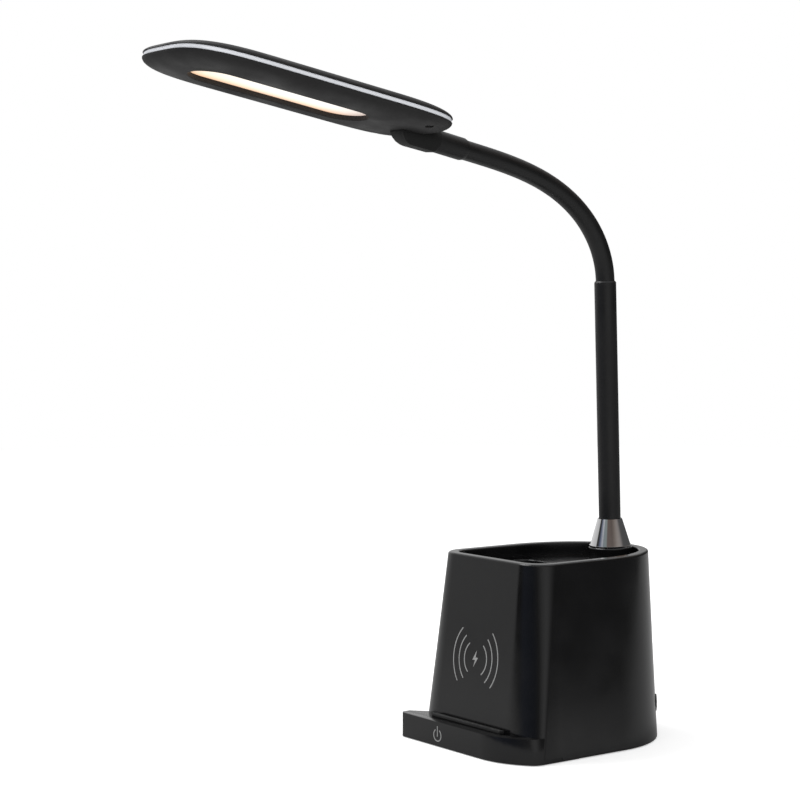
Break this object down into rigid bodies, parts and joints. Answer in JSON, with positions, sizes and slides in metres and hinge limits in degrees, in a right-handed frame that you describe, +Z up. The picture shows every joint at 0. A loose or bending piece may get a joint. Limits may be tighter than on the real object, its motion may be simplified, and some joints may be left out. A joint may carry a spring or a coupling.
{
  "type": "desk lamp",
  "caption": "LED desk lamp on a gooseneck arm, standing on a pen pot base with a sloping wireless charging face and a ledge for a phone.",
  "frame": {"origin": "middle of the flat underside of the pot", "axes": "+Z up; the phone face and the lamp's head are towards -Y; +X to the right of someone facing the phone face"},
  "size_m": [0.119, 0.3367, 0.3986],
  "materials": {
    "gloss_black": "glossy moulded ABS",
    "satin_black": "satin sleeve",
    "matt_black": "matt moulded",
    "black_rubber": "soft matt rubber",
    "chrome": "polished chrome plate",
    "silver_trim": "pale silver plated plastic",
    "light_window": "opal diffuser, lit warm white",
    "white_plastic": "matt white",
    "led_white": "white solder mask with LEDs",
    "zinc_steel": "zinc plated",
    "cast_weight": "rough cast",
    "circuit_board": "solder mask",
    "copper": "enamelled copper",
    "ferrite": "dull ferrite",
    "inlet_black": "matt moulded"
  },
  "bodies": {
    "base": {"pot_shell": "gloss_black", "phone_rest_strip": "black_rubber", "pen_insert": "gloss_black", "bottom_plate": "matt_black", "rubber_feet": "black_rubber", "bottom_screws": "zinc_steel", "ballast_weight": "cast_weight", "ballast_screws": "zinc_steel", "control_board": "circuit_board", "board_screws": "zinc_steel", "charging_coil": "copper", "ferrite_sheet": "ferrite", "coil_carrier": "matt_black", "touch_pad": "copper", "power_inlet": "inlet_black", "cone_collar": "chrome", "post_tube": "satin_black", "post_stud": "zinc_steel", "column_washer": "zinc_steel", "column_nut": "zinc_steel", "neck_root": "satin_black"},
    "neck_1": {"neck_link_1": "satin_black"},
    "neck_2": {"neck_link_2": "satin_black"},
    "neck_3": {"neck_link_3": "satin_black"},
    "neck_4": {"neck_link_4": "satin_black"},
    "neck_5": {"neck_link_5": "satin_black"},
    "neck_6": {"neck_link_6": "satin_black"},
    "neck_7": {"neck_link_7": "satin_black"},
    "neck_8": {"neck_link_8": "satin_black"},
    "neck_9": {"neck_link_9": "satin_black"},
    "head": {"neck_link_10": "satin_black", "end_collar": "satin_black", "head_socket": "matt_black", "head_lower_shell": "matt_black", "trim_band": "silver_trim", "head_top_cover": "matt_black", "diffuser": "light_window", "reflector": "white_plastic", "led_board": "led_white", "head_screws": "zinc_steel", "socket_screws": "zinc_steel"}
  },
  "joints": [
    {"name": "neck_bend_1", "type": "hinge", "parent": "base", "child": "neck_1", "pos_m": [0, 0.04575, 0.27641], "axis": [1, 0, 0], "range_deg": [-16.49, 12.36]},
    {"name": "neck_side_1", "type": "hinge", "parent": "neck_1", "child": "neck_2", "pos_m": [0, 0.04319, 0.29067], "axis": [0, 0.949, 0.3154], "range_deg": [-20, 20]},
    {"name": "neck_bend_2", "type": "hinge", "parent": "neck_2", "child": "neck_3", "pos_m": [0, 0.03694, 0.30376], "axis": [1, 0, 0], "range_deg": [-20.68, 15.51]},
    {"name": "neck_bend_3", "type": "hinge", "parent": "neck_3", "child": "neck_4", "pos_m": [0, 0.02785, 0.31507], "axis": [1, 0, 0], "range_deg": [-16.01, 12]},
    {"name": "neck_side_2", "type": "hinge", "parent": "neck_4", "child": "neck_5", "pos_m": [0, 0.01674, 0.32442], "axis": [0, 0.5734, 0.8193], "range_deg": [-20, 20]},
    {"name": "neck_bend_4", "type": "hinge", "parent": "neck_5", "child": "neck_6", "pos_m": [0, 0.00427, 0.33188], "axis": [1, 0, 0], "range_deg": [-11.62, 8.71]},
    {"name": "neck_bend_5", "type": "hinge", "parent": "neck_6", "child": "neck_7", "pos_m": [0, -0.00904, 0.3377], "axis": [1, 0, 0], "range_deg": [-7.57, 5.68]},
    {"name": "neck_side_3", "type": "hinge", "parent": "neck_7", "child": "neck_8", "pos_m": [0, -0.02285, 0.34223], "axis": [0, 0.2733, 0.9619], "range_deg": [-20, 20]},
    {"name": "neck_bend_6", "type": "hinge", "parent": "neck_8", "child": "neck_9", "pos_m": [0, -0.03694, 0.34584], "axis": [1, 0, 0], "range_deg": [-3.98, 2.99]},
    {"name": "neck_bend_7", "type": "hinge", "parent": "neck_9", "child": "head", "pos_m": [0, -0.05115, 0.34888], "axis": [1, 0, 0], "range_deg": [-3.98, 2.99]}
  ],
  "couplings": [
    {"joint": "neck_bend_2", "follows": "neck_bend_1", "ratio": 1.2526},
    {"joint": "neck_bend_3", "follows": "neck_bend_1", "ratio": 0.9691},
    {"joint": "neck_side_2", "follows": "neck_side_1", "ratio": 1},
    {"joint": "neck_bend_4", "follows": "neck_bend_1", "ratio": 0.7029},
    {"joint": "neck_bend_5", "follows": "neck_bend_1", "ratio": 0.4574},
    {"joint": "neck_side_3", "follows": "neck_side_1", "ratio": 1},
    {"joint": "neck_bend_6", "follows": "neck_bend_1", "ratio": 0.24},
    {"joint": "neck_bend_7", "follows": "neck_bend_1", "ratio": 0.24}
  ]
}
